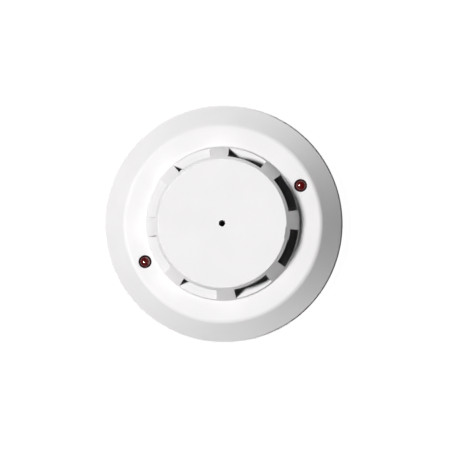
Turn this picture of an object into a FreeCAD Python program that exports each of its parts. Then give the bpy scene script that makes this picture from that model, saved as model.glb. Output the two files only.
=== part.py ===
"""Point heat detector, 100 mm across, with its twist-lock mounting base.

Origin at the centre of the mounting face; +Z runs out of the face, so the base is at the
bottom and the vented sensor cage at the top. Millimetres. Terminal number one is at 45 degrees.
"""
import FreeCAD, Part
import math
import os
import re
import Sketcher
from FreeCAD import Placement, Rotation, Vector

DIMENSIONS = {
    # mounting base: dished disc with a rim, keyholes, cable hole and three bayonet hooks
    "base_radius": 50.0, "base_rim_wall": 2.4, "base_rim_height": 9.0, "base_floor": 2.4,
    "base_edge_round": 0.2, "cable_hole_radius": 11.0, "cable_lip_radius": 12.6,
    "cable_lip_height": 4.2, "fixing_hole_radius": 2.25, "slot_spacing": 60.0,
    "slot_length": 9.0, "hole_spacing": 50.0,
    "hook_inner_radius": 40.9, "hook_post_radius": 44.0, "hook_outer_radius": 45.6,
    "hook_top": 8.2, "hook_lip": 1.6, "hook_width_angle": 14.0, "hook_position": 15.0,
    # terminals: contact strip, sprung clamp plate and screw on a boss of the base
    "terminal_radius": 33.0, "boss_radius": 3.9, "boss_top": 3.6, "boss_hole_floor": 1.1,
    "boss_hole_radius": 1.5, "strip_width": 5.0, "strip_thickness": 0.8, "strip_start": -5.0,
    "strip_bend": 5.8, "strip_rise": 7.4, "strip_crest": 11.0, "strip_end": 12.6,
    "strip_lift": 0.4, "clamp_gap": 0.15, "clamp_thickness": 0.8, "clamp_width": 5.6,
    "clamp_hole_radius": 1.5, "terminal_head_radius": 2.9, "terminal_head_height": 1.8,
    "terminal_shank_radius": 1.3, "terminal_shank_length": 3.9, "recess_width": 0.8,
    "recess_length": 3.6, "recess_depth": 0.9, "screw_bevel": 0.25, "screw_point": 0.6,
    # back plate of the head: disc, bayonet ring with three lugs, posts for the board
    "plate_bottom": 9.6, "plate_thickness": 2.0, "plate_radius": 46.6,
    "ring_inner_radius": 38.8, "ring_outer_radius": 40.4, "ring_bottom": 4.8,
    "lug_radius": 43.2, "lug_root": 40.2, "lug_thickness": 1.5, "post_radius": 2.6, "post_height": 2.2,
    "screw_clearance_radius": 1.6, "blade_screw_offset": 12.0,
    # contact blades: a folded strip under each post that wipes over the strip in the base
    "blade_width": 4.0, "blade_thickness": 0.8, "blade_start": 8.0, "blade_heel": 16.0,
    "blade_toe": 6.8, "blade_toe_bend": 8.4, "blade_toe_lift": 0.6, "blade_foot": 4.95,
    "blade_hole_radius": 1.5,
    # circuit board and the screws that hold it
    "board_radius": 39.4, "board_thickness": 1.6, "board_head_radius": 2.6,
    "board_head_height": 1.7, "board_shank_radius": 1.35, "board_shank_length": 8.0,
    # outer cover: upright land, conical skirt, flat ring round the cage
    "cover_radius": 49.4, "cover_wall": 2.0, "cover_land_top": 11.0, "shoulder_radius": 40.9,
    "shoulder_height": 24.3, "shoulder_round": 2.2, "cage_opening_radius": 32.0,
    "ring_height": 24.6, "opening_round": 0.2, "led_circle_radius": 35.85,
    "led_hole_radius": 2.7, "led_position": 23.4, "cover_boss_circle": 42.8,
    "cover_boss_radius": 2.6, "cover_boss_height": 5.3, "cover_boss_hole": 4.4,
    "cover_screw_hole": 1.1, "cover_screw_position": 60.0, "sink_radius": 2.1,
    "sink_depth": 1.2, "cover_head_radius": 1.9, "cover_head_height": 1.1,
    "cover_shank_radius": 1.0, "cover_shank_length": 5.1,
    # sensor cage: tapered drum with eight windows and a pierced cap
    "cage_foot_radius": 31.9, "cage_top_radius": 26.3, "cage_top": 39.8, "cage_wall": 1.7,
    "cap_thickness": 2.2, "cap_round": 0.4, "cage_bottom": 20.6, "cage_flange_top": 22.2,
    "flange_radius": 35.5, "window_bottom": 26.1, "window_top": 36.4, "window_angle": 30.0,
    "window_position": 22.5, "breather_radius": 1.3, "notch_radius": 3.2,
    "tab_drop": 1.3, "tab_overlap": 0.4, "tab_angle": 10.0, "tab_position": -12.0,
    "rim_notch_depth": 0.4, "rim_notch_height": 1.5, "rim_notch_position": -11.0,
    # chamber floor: white dish that closes the cage off from the board
    "floor_top": 26.05, "floor_thickness": 1.5, "floor_radius": 29.55, "floor_wall": 1.7,
    "floor_flange_bottom": 18.9, "floor_flange_top": 20.4, "floor_hole_radius": 3.0,
    "leg_circle_radius": 33.2, "leg_radius": 1.8,
    # thermistor on its two wires, carried by a post through the chamber floor
    "bead_radius": 1.25, "bead_height": 34.4, "bead_neck": 1.6, "wire_radius": 0.25,
    "wire_pitch": 1.1, "guide_radius": 2.7, "guide_top": 31.0, "guide_top_radius": 1.7,
    "guide_flange_radius": 24.0, "guide_flange_thickness": 1.2, "guide_bore": 1.0,
    # alarm lamps
    "lamp_radius": 2.5, "lamp_bottom": 16.9, "lamp_top": 25.3, "lamp_flange_radius": 2.9,
    "lamp_flange": 1.0, "lamp_lead": 0.5, "lamp_lead_pitch": 2.54, "spacer_radius": 2.6,
    "spacer_hole": 0.45, "spacer_gap": 0.1,
    # components on the board
    "chip_length": 10.3, "chip_width": 7.5, "chip_height": 2.3, "chip_standoff": 0.2,
    "pin_pitch": 1.27, "pin_width": 0.45, "pin_reach": 1.4, "pin_thickness": 0.3,
    "pin_root": 0.1,
    "can_radius": 2.5, "can_height": 7.0, "can_groove": 0.3, "can_groove_height": 1.4,
    "disc_radius": 2.2, "disc_thickness": 1.5, "varistor_radius": 3.6,
    "varistor_thickness": 2.6, "disc_standoff": 1.2, "lead_radius": 0.25,
    "resistor_radius": 0.9, "resistor_length": 4.6, "diode_radius": 1.15,
    "diode_length": 4.2, "reed_radius": 1.1, "reed_length": 10.0, "lead_overhang": 1.6,
    "axial_standoff": 0.3, "transistor_radius": 2.3, "transistor_height": 4.7,
    "transistor_standoff": 2.0, "transistor_pitch": 1.27, "transistor_flat": 1.3,
}

# board components: distance across and along the board from its centre, and heading in degrees
BOARD_LAYOUT = {
    "chip": [(-12.5, 6.0, 0.0)],
    "can": [(14.0, 11.0, 0.0), (19.5, 5.0, 0.0)],
    "ceramic": [(6.0, -20.0, 0.0), (-1.0, -20.0, 0.0), (-8.0, -20.0, 0.0)],
    "resistor": [(-18.0, -3.0, 0.0), (-18.0, -6.0, 0.0), (-18.0, -9.0, 0.0),
                 (-7.0, 17.5, 90.0), (-4.0, 17.5, 90.0), (-1.0, 17.5, 90.0)],
    "diode": [(15.5, -4.0, 0.0), (15.5, -7.6, 0.0), (15.5, -11.2, 0.0), (15.5, -14.8, 0.0)],
    "varistor": [(6.0, 19.5, 0.0)],
    "transistor": [(-7.0, -6.0, 0.0), (-7.0, -13.0, 0.0)],
    "reed": [(4.5, -12.0, 90.0)],
    "reference": [(-20.0, 15.0, 90.0)],
}

TERMINALS = (1, 2, 3, 4)
TERMINAL_ANGLES = {number: 90 * number - 45 for number in TERMINALS}
Z_AXIS = Vector(0, 0, 1)

doc = FreeCAD.newDocument("heat_detector")
sheet = doc.addObject("Spreadsheet::Sheet", "Dimensions")
for row, (alias, amount) in enumerate(DIMENSIONS.items(), start=1):
    sheet.set(f"A{row}", alias)
    sheet.set(f"B{row}", str(amount))
    sheet.setAlias(f"B{row}", alias)
doc.recompute()

sub_parts = []


# ---------------------------------------------------------------- helpers

def value(text):
    """The number that an expression of sheet aliases comes to."""
    return float(sheet.evalExpression(text))


def formula(text):
    """The same expression as other objects read it, with the sheet named."""
    def named(word):
        return "Dimensions." + word.group() if word.group() in DIMENSIONS else word.group()
    return re.sub(r"[a-z_]+", named, text)


def bind(thing, property_name, text):
    """Tie a property to the sheet; a text without an alias needs no tie."""
    if formula(text) != text:
        thing.setExpression(property_name, formula(text))


def sub_part(thing, label):
    """Give a finished object its node name and put it on the list to be written."""
    thing.Label = label
    sub_parts.append(thing)
    return thing


def new_body(name):
    return doc.addObject("PartDesign::Body", name)


def origin_feature(body, role):
    return next(item for item in body.Origin.OriginFeatures if item.Role == role)


def new_sketch(body, name, plane, height, turn):
    """A sketch on an origin plane, moved along its normal and turned about world Z."""
    sketch = body.newObject("Sketcher::SketchObject", name)
    sketch.AttachmentSupport = [(origin_feature(body, plane), "")]
    sketch.MapMode = "FlatFace"
    if plane == "XY_Plane":
        spin = Rotation(Z_AXIS, turn)
    else:
        spin = Rotation(Vector(0, 1, 0), turn)
    sketch.AttachmentOffset = Placement(Vector(0, 0, value(height)), spin)
    bind(sketch, "AttachmentOffset.Base.z", height)
    return sketch


def place_point(sketch, geometry, point, texts):
    """Tie one point of the sketch to the origin by two dimensions from the sheet."""
    for kind, text in zip(("DistanceX", "DistanceY"), texts):
        tie = Sketcher.Constraint(kind, -1, 1, geometry, point, value(text))
        bind(sketch, f"Constraints[{sketch.addConstraint(tie)}]", text)


def outline(body, name, corners, plane="XZ_Plane", height="0", turn=0.0):
    """Closed straight-sided outline; each corner is a pair of expressions."""
    sketch = new_sketch(body, name, plane, height, turn)
    points = [Vector(value(across), value(up), 0) for across, up in corners]
    following = points[1:] + points[:1]
    for start, end in zip(points, following):
        sketch.addGeometry(Part.LineSegment(start, end))
    count = len(points)
    for index in range(count):
        sketch.addConstraint(Sketcher.Constraint("Coincident", index, 2, (index + 1) % count, 1))
    for index, texts in enumerate(corners):
        place_point(sketch, index, 1, texts)
    return sketch


def circles(body, name, rows, height="0", turn=0.0):
    """Circles in a horizontal plane, each given as x, y and radius expressions."""
    sketch = new_sketch(body, name, "XY_Plane", height, turn)
    centre_point = 3
    for across, along, radius in rows:
        centre = Vector(value(across), value(along), 0)
        index = sketch.addGeometry(Part.Circle(centre, Z_AXIS, value(radius)))
        place_point(sketch, index, centre_point, (across, along))
        tie = Sketcher.Constraint("Radius", index, value(radius))
        bind(sketch, f"Constraints[{sketch.addConstraint(tie)}]", radius)
    return sketch


def rectangle(half_across, half_along, across="0", along="0"):
    """Corners of a rectangle about a centre."""
    left, right = f"{across} - ({half_across})", f"{across} + ({half_across})"
    near, far = f"{along} - ({half_along})", f"{along} + ({half_along})"
    return [(left, near), (right, near), (right, far), (left, far)]


def add_feature(body, kind, sketch, **sizes):
    """A PartDesign feature on a sketch that must change the body's volume."""
    before = body.Shape.Volume if body.Tip and not body.Shape.isNull() else 0.0
    made = body.newObject("PartDesign::" + kind, kind.lower() + "_" + sketch.Name)
    made.Profile = sketch
    if kind in ("Revolution", "Groove"):
        made.ReferenceAxis = (sketch, ["V_Axis"])
        made.Midplane = "Angle" in sizes
        made.Angle = 360.0
    for property_name, text in sizes.items():
        setattr(made, property_name, value(text))
        bind(made, property_name, text)
    body.Tip = made
    doc.recompute()
    if abs(body.Shape.Volume - before) < 1e-4:
        raise ValueError(f"{made.Name} changes nothing")
    return made


def around(body, feature, count):
    """Repeat a feature evenly about the vertical axis."""
    made = body.newObject("PartDesign::PolarPattern", "pattern_" + feature.Name)
    made.Originals = [feature]
    made.Axis = (origin_feature(body, "Z_Axis"), [""])
    made.Angle = 360.0
    made.Occurrences = count
    body.Tip = made
    doc.recompute()
    return made


def round_circle(body, name, radius, height, rounding):
    """Fillet the circular edges of one radius at one height."""
    base = body.Tip
    chosen = []
    for number, edge in enumerate(base.Shape.Edges, start=1):
        curve = edge.Curve
        if not isinstance(curve, Part.Circle):
            continue
        if abs(curve.Radius - value(radius)) < 1e-3 and abs(curve.Center.z - value(height)) < 1e-3:
            chosen.append(f"Edge{number}")
    made = body.newObject("PartDesign::Fillet", name)
    made.Base = (base, chosen)
    made.Radius = value(rounding)
    bind(made, "Radius", rounding)
    body.Tip = made
    doc.recompute()
    return made


def turned(angle):
    """A turn about the vertical axis through the origin."""
    return Placement(Vector(), Rotation(Z_AXIS, angle))


def on_circle(radius, angle, height):
    """A point at a radius, an angle in degrees and a height."""
    heading = math.radians(angle)
    return Vector(radius * math.cos(heading), radius * math.sin(heading), height)


def primitive(kind, name, place, **sizes):
    """A Part primitive with its sizes bound to the sheet."""
    made = doc.addObject("Part::" + kind, name)
    for property_name, text in sizes.items():
        setattr(made, property_name, value(text))
        bind(made, property_name, text)
    made.Placement = place
    return made


def fused(name, pieces):
    made = doc.addObject("Part::MultiFuse", name)
    made.Shapes = pieces
    return made


def grouped(name, pieces):
    """Several separate solids that share one node."""
    made = doc.addObject("Part::Compound", name)
    made.Links = pieces
    return made


# ---------------------------------------------------------------- mounting base

def make_mounting_base():
    body = new_body("base")
    rim_inner = "base_radius - base_rim_wall"
    section = outline(body, "base_section", [
        ("cable_hole_radius", "0"), ("base_radius", "0"), ("base_radius", "base_rim_height"),
        (rim_inner, "base_rim_height"), (rim_inner, "base_floor"),
        ("cable_lip_radius", "base_floor"), ("cable_lip_radius", "cable_lip_height"),
        ("cable_hole_radius", "cable_lip_height")])
    add_feature(body, "Revolution", section)
    hook = outline(body, "hook_section", [
        ("hook_post_radius", "base_floor"), ("hook_outer_radius", "base_floor"),
        ("hook_outer_radius", "hook_top"), ("hook_inner_radius", "hook_top"),
        ("hook_inner_radius", "hook_top - hook_lip"),
        ("hook_post_radius", "hook_top - hook_lip")], turn=value("hook_position"))
    around(body, add_feature(body, "Revolution", hook, Angle="hook_width_angle"), 3)
    boss = circles(body, "boss", [("terminal_radius", "0", "boss_radius")],
                   "base_floor", TERMINAL_ANGLES[1])
    around(body, add_feature(body, "Pad", boss, Length="boss_top - base_floor"), 4)
    boss_hole = circles(body, "boss_hole", [("terminal_radius", "0", "boss_hole_radius")],
                        "boss_top", TERMINAL_ANGLES[1])
    around(body, add_feature(body, "Pocket", boss_hole, Length="boss_top - boss_hole_floor"), 4)
    fixing = circles(body, "fixing_holes", [
        ("0", "hole_spacing / 2", "fixing_hole_radius"),
        ("0", "0 - hole_spacing / 2", "fixing_hole_radius")], "base_floor")
    add_feature(body, "Pocket", fixing, Length="base_floor")
    straight = "slot_length / 2 - fixing_hole_radius"
    for side, sign in (("right", "+"), ("left", "-")):
        middle = f"0 {sign} slot_spacing / 2"
        slot = outline(body, "slot_" + side, rectangle(straight, "fixing_hole_radius", middle),
                       "XY_Plane", "base_floor")
        add_feature(body, "Pocket", slot, Length="base_floor")
        for end, away in (("outer", "+"), ("inner", "-")):
            end_x = f"{middle} {away} ({straight})"
            round_end = circles(body, f"slot_end_{side}_{end}",
                                [(end_x, "0", "fixing_hole_radius")], "base_floor")
            add_feature(body, "Pocket", round_end, Length="base_floor")
    round_circle(body, "base_edge", "base_radius", "base_rim_height", "base_edge_round")
    sub_part(body, "mounting_base")


def make_terminal(number):
    """Contact strip, clamp plate and screw of one terminal, modelled at angle zero."""
    place = turned(TERMINAL_ANGLES[number])
    inner_edge = "terminal_radius - strip_width / 2"
    strip = new_body(f"strip_{number}")
    side = outline(strip, f"strip_side_{number}", [
        ("strip_start", "boss_top"), ("strip_bend", "boss_top"),
        ("strip_rise", "boss_top + strip_lift"), ("strip_crest", "boss_top + strip_lift"),
        ("strip_end", "boss_top"), ("strip_end", "boss_top + strip_thickness"),
        ("strip_crest", "boss_top + strip_lift + strip_thickness"),
        ("strip_rise", "boss_top + strip_lift + strip_thickness"),
        ("strip_bend", "boss_top + strip_thickness"),
        ("strip_start", "boss_top + strip_thickness")], "YZ_Plane", inner_edge)
    add_feature(strip, "Pad", side, Length="strip_width")
    hole = circles(strip, f"strip_hole_{number}", [("terminal_radius", "0", "boss_hole_radius")],
                   "boss_top + strip_thickness")
    add_feature(strip, "Pocket", hole, Length="strip_thickness")
    strip.Placement = place
    sub_part(strip, f"base_contact_{number}")

    clamp_bottom = "boss_top + strip_thickness + clamp_gap"
    clamp = new_body(f"clamp_{number}")
    square = outline(clamp, f"clamp_plan_{number}",
                     rectangle("clamp_width / 2", "clamp_width / 2", "terminal_radius"),
                     "XY_Plane", clamp_bottom)
    add_feature(clamp, "Pad", square, Length="clamp_thickness")
    opening = circles(clamp, f"clamp_hole_{number}",
                      [("terminal_radius", "0", "clamp_hole_radius")],
                      f"{clamp_bottom} + clamp_thickness")
    add_feature(clamp, "Pocket", opening, Length="clamp_thickness")
    clamp.Placement = place
    sub_part(clamp, f"terminal_clamp_{number}")

    screw = make_screw(f"terminal_{number}", "terminal")
    seat = value(f"{clamp_bottom} + clamp_thickness + clamp_gap / 3")
    screw.Placement = Placement(
        on_circle(value("terminal_radius"), TERMINAL_ANGLES[number], seat), Rotation())
    sub_part(screw, f"terminal_screw_{number}")


def make_screw(name, kind):
    """Pan-head screw with a cross recess, its head resting on the plane z = 0."""
    body = new_body(f"screw_{name}")
    head, height = f"{kind}_head_radius", f"{kind}_head_height"
    shank, length = f"{kind}_shank_radius", f"{kind}_shank_length"
    bevel = f"screw_bevel * {height}"
    point = f"screw_point * {shank}"
    section = outline(body, f"screw_section_{name}", [
        ("0", f"0 - {length}"), (point, f"0 - {length}"),
        (shank, f"0 - {length} + {point}"), (shank, "0"), (head, "0"),
        (head, f"{height} - {bevel}"), (f"{head} - {bevel}", height), ("0", height)])
    add_feature(body, "Revolution", section)
    scale = f"{head} / terminal_head_radius"
    arm, half = f"recess_length / 2 * {scale}", "recess_width / 2"
    cross = [(arm, half), (half, half), (half, arm)]
    quadrants = [("", ""), ("-", ""), ("-", "-"), ("", "-")]
    corners = []
    for index, (sign_x, sign_y) in enumerate(quadrants):
        quarter = cross if index % 2 == 0 else cross[::-1]
        corners += [(f"0 {sign_x or '+'} {x}", f"0 {sign_y or '+'} {y}") for x, y in quarter]
    recess = outline(body, f"recess_{name}", corners, "XY_Plane", height)
    add_feature(body, "Pocket", recess, Length=f"recess_depth * {scale}")
    return body


# ---------------------------------------------------------------- detector head

def blade_angle():
    """Angle between a terminal and the screw of the blade that meets it."""
    return math.degrees(math.atan2(value("blade_screw_offset"), value("terminal_radius")))


def make_back_plate():
    body = new_body("plate")
    plate_top = "plate_bottom + plate_thickness"
    section = outline(body, "plate_section", [
        ("0", "plate_bottom"), ("ring_inner_radius", "plate_bottom"),
        ("ring_inner_radius", "ring_bottom"), ("ring_outer_radius", "ring_bottom"),
        ("ring_outer_radius", "plate_bottom"), ("plate_radius", "plate_bottom"),
        ("plate_radius", plate_top), ("0", plate_top)])
    add_feature(body, "Revolution", section)
    lug = outline(body, "lug_section", [
        ("lug_root", "ring_bottom"), ("lug_radius", "ring_bottom"),
        ("lug_radius", "ring_bottom + lug_thickness"),
        ("lug_root", "ring_bottom + lug_thickness")], turn=value("hook_position"))
    around(body, add_feature(body, "Revolution", lug, Angle="hook_width_angle"), 3)
    first_post = TERMINAL_ANGLES[1]
    centre = ("terminal_radius", "blade_screw_offset")
    post = circles(body, "post", [(*centre, "post_radius")], plate_top, first_post)
    around(body, add_feature(body, "Pad", post, Length="post_height"), 4)
    bore = circles(body, "post_bore", [(*centre, "screw_clearance_radius")],
                   f"{plate_top} + post_height", first_post)
    around(body, add_feature(body, "Pocket", bore, Length="plate_thickness + post_height"), 4)
    sink = circles(body, "screw_sink", [("cover_boss_circle", "0", "sink_radius")],
                   "plate_bottom + sink_depth", value("cover_screw_position"))
    around(body, add_feature(body, "Pocket", sink, Length="sink_depth"), 3)
    through = circles(body, "screw_way", [("cover_boss_circle", "0", "cover_screw_hole")],
                      plate_top, value("cover_screw_position"))
    around(body, add_feature(body, "Pocket", through, Length="plate_thickness"), 3)
    sub_part(body, "back_plate")


def make_contact_blade(number):
    body = new_body(f"blade_{number}")
    inner_edge = "terminal_radius - blade_width / 2"
    foot_top = "blade_foot + blade_thickness"
    inside = "blade_heel - blade_thickness"
    side = outline(body, f"blade_side_{number}", [
        ("blade_start", "plate_bottom"), ("blade_start", "plate_bottom - blade_thickness"),
        (inside, "plate_bottom - blade_thickness"), (inside, foot_top),
        ("blade_toe_bend", foot_top), ("blade_toe", f"{foot_top} + blade_toe_lift"),
        ("blade_toe", "blade_foot + blade_toe_lift"), ("blade_toe_bend", "blade_foot"),
        ("blade_heel", "blade_foot"), ("blade_heel", "plate_bottom")], "YZ_Plane", inner_edge)
    add_feature(body, "Pad", side, Length="blade_width")
    hole = circles(body, f"blade_hole_{number}",
                   [("terminal_radius", "blade_screw_offset", "blade_hole_radius")],
                   "plate_bottom")
    add_feature(body, "Pocket", hole, Length="blade_thickness")
    body.Placement = turned(TERMINAL_ANGLES[number])
    sub_part(body, f"contact_blade_{number}")


def make_board_and_screws():
    body = new_body("board")
    bottom = "plate_bottom + plate_thickness + post_height"
    plan = circles(body, "board_plan", [("0", "0", "board_radius")], bottom)
    add_feature(body, "Pad", plan, Length="board_thickness")
    hole = circles(body, "board_hole",
                   [("terminal_radius", "blade_screw_offset", "screw_clearance_radius")],
                   f"{bottom} + board_thickness", TERMINAL_ANGLES[1])
    around(body, add_feature(body, "Pocket", hole, Length="board_thickness"), 4)
    sub_part(body, "circuit_board")

    screws = []
    radius = math.hypot(value("terminal_radius"), value("blade_screw_offset"))
    for number in TERMINALS:
        screw = make_screw(f"board_{number}", "board")
        angle = TERMINAL_ANGLES[number] + blade_angle()
        screw.Placement = Placement(on_circle(radius, angle, BOARD_TOP), Rotation())
        screws.append(screw)
    sub_part(grouped("board_screw_group", screws), "board_screws")


def make_outer_cover():
    """Shell of constant wall: the inner skirt runs parallel to the outer one."""
    body = new_body("cover")
    run = "(cover_radius - shoulder_radius)"
    rise = "(shoulder_height - cover_land_top)"
    slant = f"cover_wall * sqrt({run} * {run} + {rise} * {rise}) / {rise}"
    ceiling = "ring_height - cover_wall"
    inner_land = "cover_radius - cover_wall"
    drop = f"({slant} - cover_wall) * {rise} / {run}"
    inner_shoulder = f"shoulder_radius - {slant} + cover_wall * {run} / {rise}"
    section = outline(body, "cover_section", [
        (inner_land, "plate_bottom"), ("cover_radius", "plate_bottom"),
        ("cover_radius", "cover_land_top"), ("shoulder_radius", "shoulder_height"),
        ("cage_opening_radius", "ring_height"), ("cage_opening_radius", ceiling),
        (inner_shoulder, "shoulder_height - cover_wall"),
        (inner_land, f"cover_land_top - {drop}")])
    add_feature(body, "Revolution", section)
    round_circle(body, "shoulder_edge", "shoulder_radius", "shoulder_height", "shoulder_round")
    round_circle(body, "opening_edge", "cage_opening_radius", "ring_height", "opening_round")
    lamp = circles(body, "lamp_holes", [("led_circle_radius", "0", "led_hole_radius")],
                   "ring_height + cover_wall", value("led_position"))
    around(body, add_feature(body, "Pocket", lamp, Length="3 * cover_wall"), 2)
    boss_bottom = "plate_bottom + plate_thickness"
    turn = value("cover_screw_position")
    boss = circles(body, "cover_boss", [("cover_boss_circle", "0", "cover_boss_radius")],
                   boss_bottom, turn)
    around(body, add_feature(body, "Pad", boss, Length="cover_boss_height"), 3)
    hole = circles(body, "cover_boss_hole", [("cover_boss_circle", "0", "cover_screw_hole")],
                   f"{boss_bottom} + cover_boss_hole", turn)
    around(body, add_feature(body, "Pocket", hole, Length="cover_boss_hole"), 3)
    sub_part(body, "outer_cover")

    screws = []
    upside_down = Rotation(Vector(1, 0, 0), 180)
    seat = value("plate_bottom + sink_depth")
    for number in range(3):
        screw = make_screw(f"cover_{number}", "cover")
        angle = value("cover_screw_position") + 120 * number
        place = on_circle(value("cover_boss_circle"), angle, seat)
        screw.Placement = Placement(place, upside_down)
        screws.append(screw)
    sub_part(grouped("cover_screw_group", screws), "cover_screws")


def make_sensor_cage():
    body = new_body("cage")
    taper = "(cage_foot_radius - cage_top_radius) / (cage_top - ring_height)"
    cap_under = "cage_top - cap_thickness"
    foot_inner = "cage_foot_radius - cage_wall"
    section = outline(body, "cage_section", [
        (foot_inner, "cage_bottom"), ("flange_radius", "cage_bottom"),
        ("flange_radius", "cage_flange_top"), ("cage_foot_radius", "cage_flange_top"),
        ("cage_foot_radius", "ring_height"), ("cage_top_radius", "cage_top"),
        ("0", "cage_top"), ("0", cap_under),
        (f"cage_top_radius - cage_wall + cap_thickness * {taper}", cap_under),
        (foot_inner, "ring_height")])
    add_feature(body, "Revolution", section)
    window = outline(body, "window_section", [
        ("cage_top_radius - 2 * cage_wall", "window_bottom"),
        ("cage_foot_radius + cage_wall", "window_bottom"),
        ("cage_foot_radius + cage_wall", "window_top"),
        ("cage_top_radius - 2 * cage_wall", "window_top")], turn=value("window_position"))
    around(body, add_feature(body, "Groove", window, Angle="window_angle"), 8)
    tab_bottom, tab_top = "window_top - tab_drop", "window_top + tab_overlap"
    low_radius = f"cage_top_radius + (cage_top - window_top + tab_drop) * {taper}"
    high_radius = f"cage_top_radius + (cage_top - window_top - tab_overlap) * {taper}"
    tab = outline(body, "tab_section", [
        (f"{low_radius} - cage_wall", tab_bottom), (low_radius, tab_bottom),
        (high_radius, tab_top), (f"{high_radius} - cage_wall", tab_top)],
        turn=value("tab_position"))
    add_feature(body, "Revolution", tab, Angle="tab_angle")
    notch_top, notch_bottom = "cage_top + rim_notch_height", "cage_top - rim_notch_height"
    notch_outer = "cage_top_radius + cage_wall"
    rim_notch = outline(body, "rim_notch_section", [
        (f"cage_top_radius - rim_notch_depth + rim_notch_height * {taper}", notch_bottom),
        (notch_outer, notch_bottom), (notch_outer, notch_top),
        ("cage_top_radius - rim_notch_depth", notch_top),
        ("cage_top_radius - rim_notch_depth", "cage_top")],
        turn=value("rim_notch_position"))
    add_feature(body, "Groove", rim_notch, Angle="tab_angle")
    breather = circles(body, "breather", [("0", "0", "breather_radius")], "cage_top")
    add_feature(body, "Pocket", breather, Length="cap_thickness")
    cut_lamp_notches(body, "cage", "cage_flange_top", "cage_flange_top - cage_bottom")
    round_circle(body, "cap_edge", "cage_top_radius", "cage_top", "cap_round")
    sub_part(body, "sensor_cage")


def cut_lamp_notches(body, name, top, depth):
    """Two notches that let the lamps pass a flange."""
    notch = circles(body, f"{name}_notch", [("led_circle_radius", "0", "notch_radius")],
                    top, value("led_position"))
    around(body, add_feature(body, "Pocket", notch, Length=depth), 2)


def make_chamber_floor():
    body = new_body("floor")
    inner = "floor_radius - floor_wall"
    under = "floor_top - floor_thickness"
    section = outline(body, "floor_section", [
        ("floor_hole_radius", under), (inner, under), (inner, "floor_flange_bottom"),
        ("flange_radius", "floor_flange_bottom"), ("flange_radius", "floor_flange_top"),
        ("floor_radius", "floor_flange_top"), ("floor_radius", "floor_top"),
        ("floor_hole_radius", "floor_top")])
    add_feature(body, "Revolution", section)
    cut_lamp_notches(body, "floor", "floor_flange_top", "floor_flange_top - floor_flange_bottom")
    leg = circles(body, "leg", [("leg_circle_radius", "0", "leg_radius")],
                  "plate_bottom + plate_thickness + post_height + board_thickness")
    leg_length = ("floor_flange_bottom - plate_bottom - plate_thickness - post_height"
                  " - board_thickness")
    around(body, add_feature(body, "Pad", leg, Length=leg_length), 4)
    sub_part(body, "chamber_floor")


def make_thermistor():
    bead = new_body("bead")
    base = "bead_height - bead_radius - bead_neck"
    section = outline(bead, "bead_section", [
        ("0", base), ("bead_radius * 0.7", base), ("bead_radius", "bead_height - bead_radius"),
        ("bead_radius * 0.9", "bead_height - bead_radius * 0.55"),
        ("bead_radius * 0.5", "bead_height - bead_radius * 0.12"), ("0", "bead_height")])
    add_feature(bead, "Revolution", section)
    sub_part(bead, "thermistor_bead")

    length = f"{base} - plate_bottom - plate_thickness - post_height - board_thickness"
    wires = []
    for side in (-1, 1):
        place = Placement(Vector(side * value("wire_pitch") / 2, 0, BOARD_TOP), Rotation())
        wires.append(primitive("Cylinder", f"wire_{side + 2}", place,
                               Radius="wire_radius", Height=length))
    sub_part(grouped("thermistor_wire_pair", wires), "thermistor_wires")

    guide = new_body("guide")
    flange_top = "floor_top + guide_flange_thickness"
    under = "floor_top - floor_thickness"
    section = outline(guide, "guide_section", [
        ("guide_bore", under), ("guide_radius", under),
        ("guide_radius", "floor_top"), ("guide_flange_radius", "floor_top"),
        ("guide_flange_radius", flange_top), ("guide_radius", flange_top),
        ("guide_top_radius", "guide_top"), ("guide_bore", "guide_top")])
    add_feature(guide, "Revolution", section)
    sub_part(guide, "thermistor_guide")


def make_lamps():
    leads = []
    spacers = []
    for number in (1, 2):
        angle = value("led_position") + 180 * (number - 1)
        foot = on_circle(value("led_circle_radius"), angle, 0.0)
        lamp = new_body(f"lamp_{number}")
        dome_base = "lamp_top - lamp_radius"
        section = outline(lamp, f"lamp_section_{number}", [
            ("0", "lamp_bottom"), ("lamp_flange_radius", "lamp_bottom"),
            ("lamp_flange_radius", "lamp_bottom + lamp_flange"),
            ("lamp_radius", "lamp_bottom + lamp_flange"), ("lamp_radius", dome_base),
            ("lamp_radius * cos(30)", f"{dome_base} + lamp_radius * sin(30)"),
            ("lamp_radius * cos(55)", f"{dome_base} + lamp_radius * sin(55)"),
            ("lamp_radius * cos(75)", f"{dome_base} + lamp_radius * sin(75)"),
            ("0", "lamp_top")])
        add_feature(lamp, "Revolution", section)
        lamp.Placement = Placement(foot, Rotation(Z_AXIS, angle))
        sub_part(lamp, f"alarm_lamp_{number}")

        spacer = new_body(f"spacer_{number}")
        bottom = "plate_bottom + plate_thickness + post_height + board_thickness"
        plan = circles(spacer, f"spacer_plan_{number}", [("0", "0", "spacer_radius")], bottom)
        height = f"lamp_bottom - spacer_gap - ({bottom})"
        add_feature(spacer, "Pad", plan, Length=height)
        ways = circles(spacer, f"spacer_ways_{number}", [
            ("lamp_lead_pitch / 2", "0", "spacer_hole"),
            ("0 - lamp_lead_pitch / 2", "0", "spacer_hole")], "lamp_bottom - spacer_gap")
        add_feature(spacer, "Pocket", ways, Length=height)
        spacer.Placement = Placement(foot, Rotation(Z_AXIS, angle))
        spacers.append(spacer)

        half = value("lamp_lead / 2")
        for side in (-1, 1):
            offset = Vector(side * value("lamp_lead_pitch / 2") - half, -half, BOARD_TOP)
            place = turned(angle)
            place = Placement(foot + place.multVec(offset), place.Rotation)
            leads.append(primitive("Box", f"lamp_lead_{number}_{side + 2}", place,
                                   Length="lamp_lead", Width="lamp_lead",
                                   Height=f"lamp_bottom - ({bottom})"))
    sub_part(grouped("lamp_spacer_pair", spacers), "lamp_spacers")
    sub_part(grouped("lamp_lead_group", leads), "lamp_leads")


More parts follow.
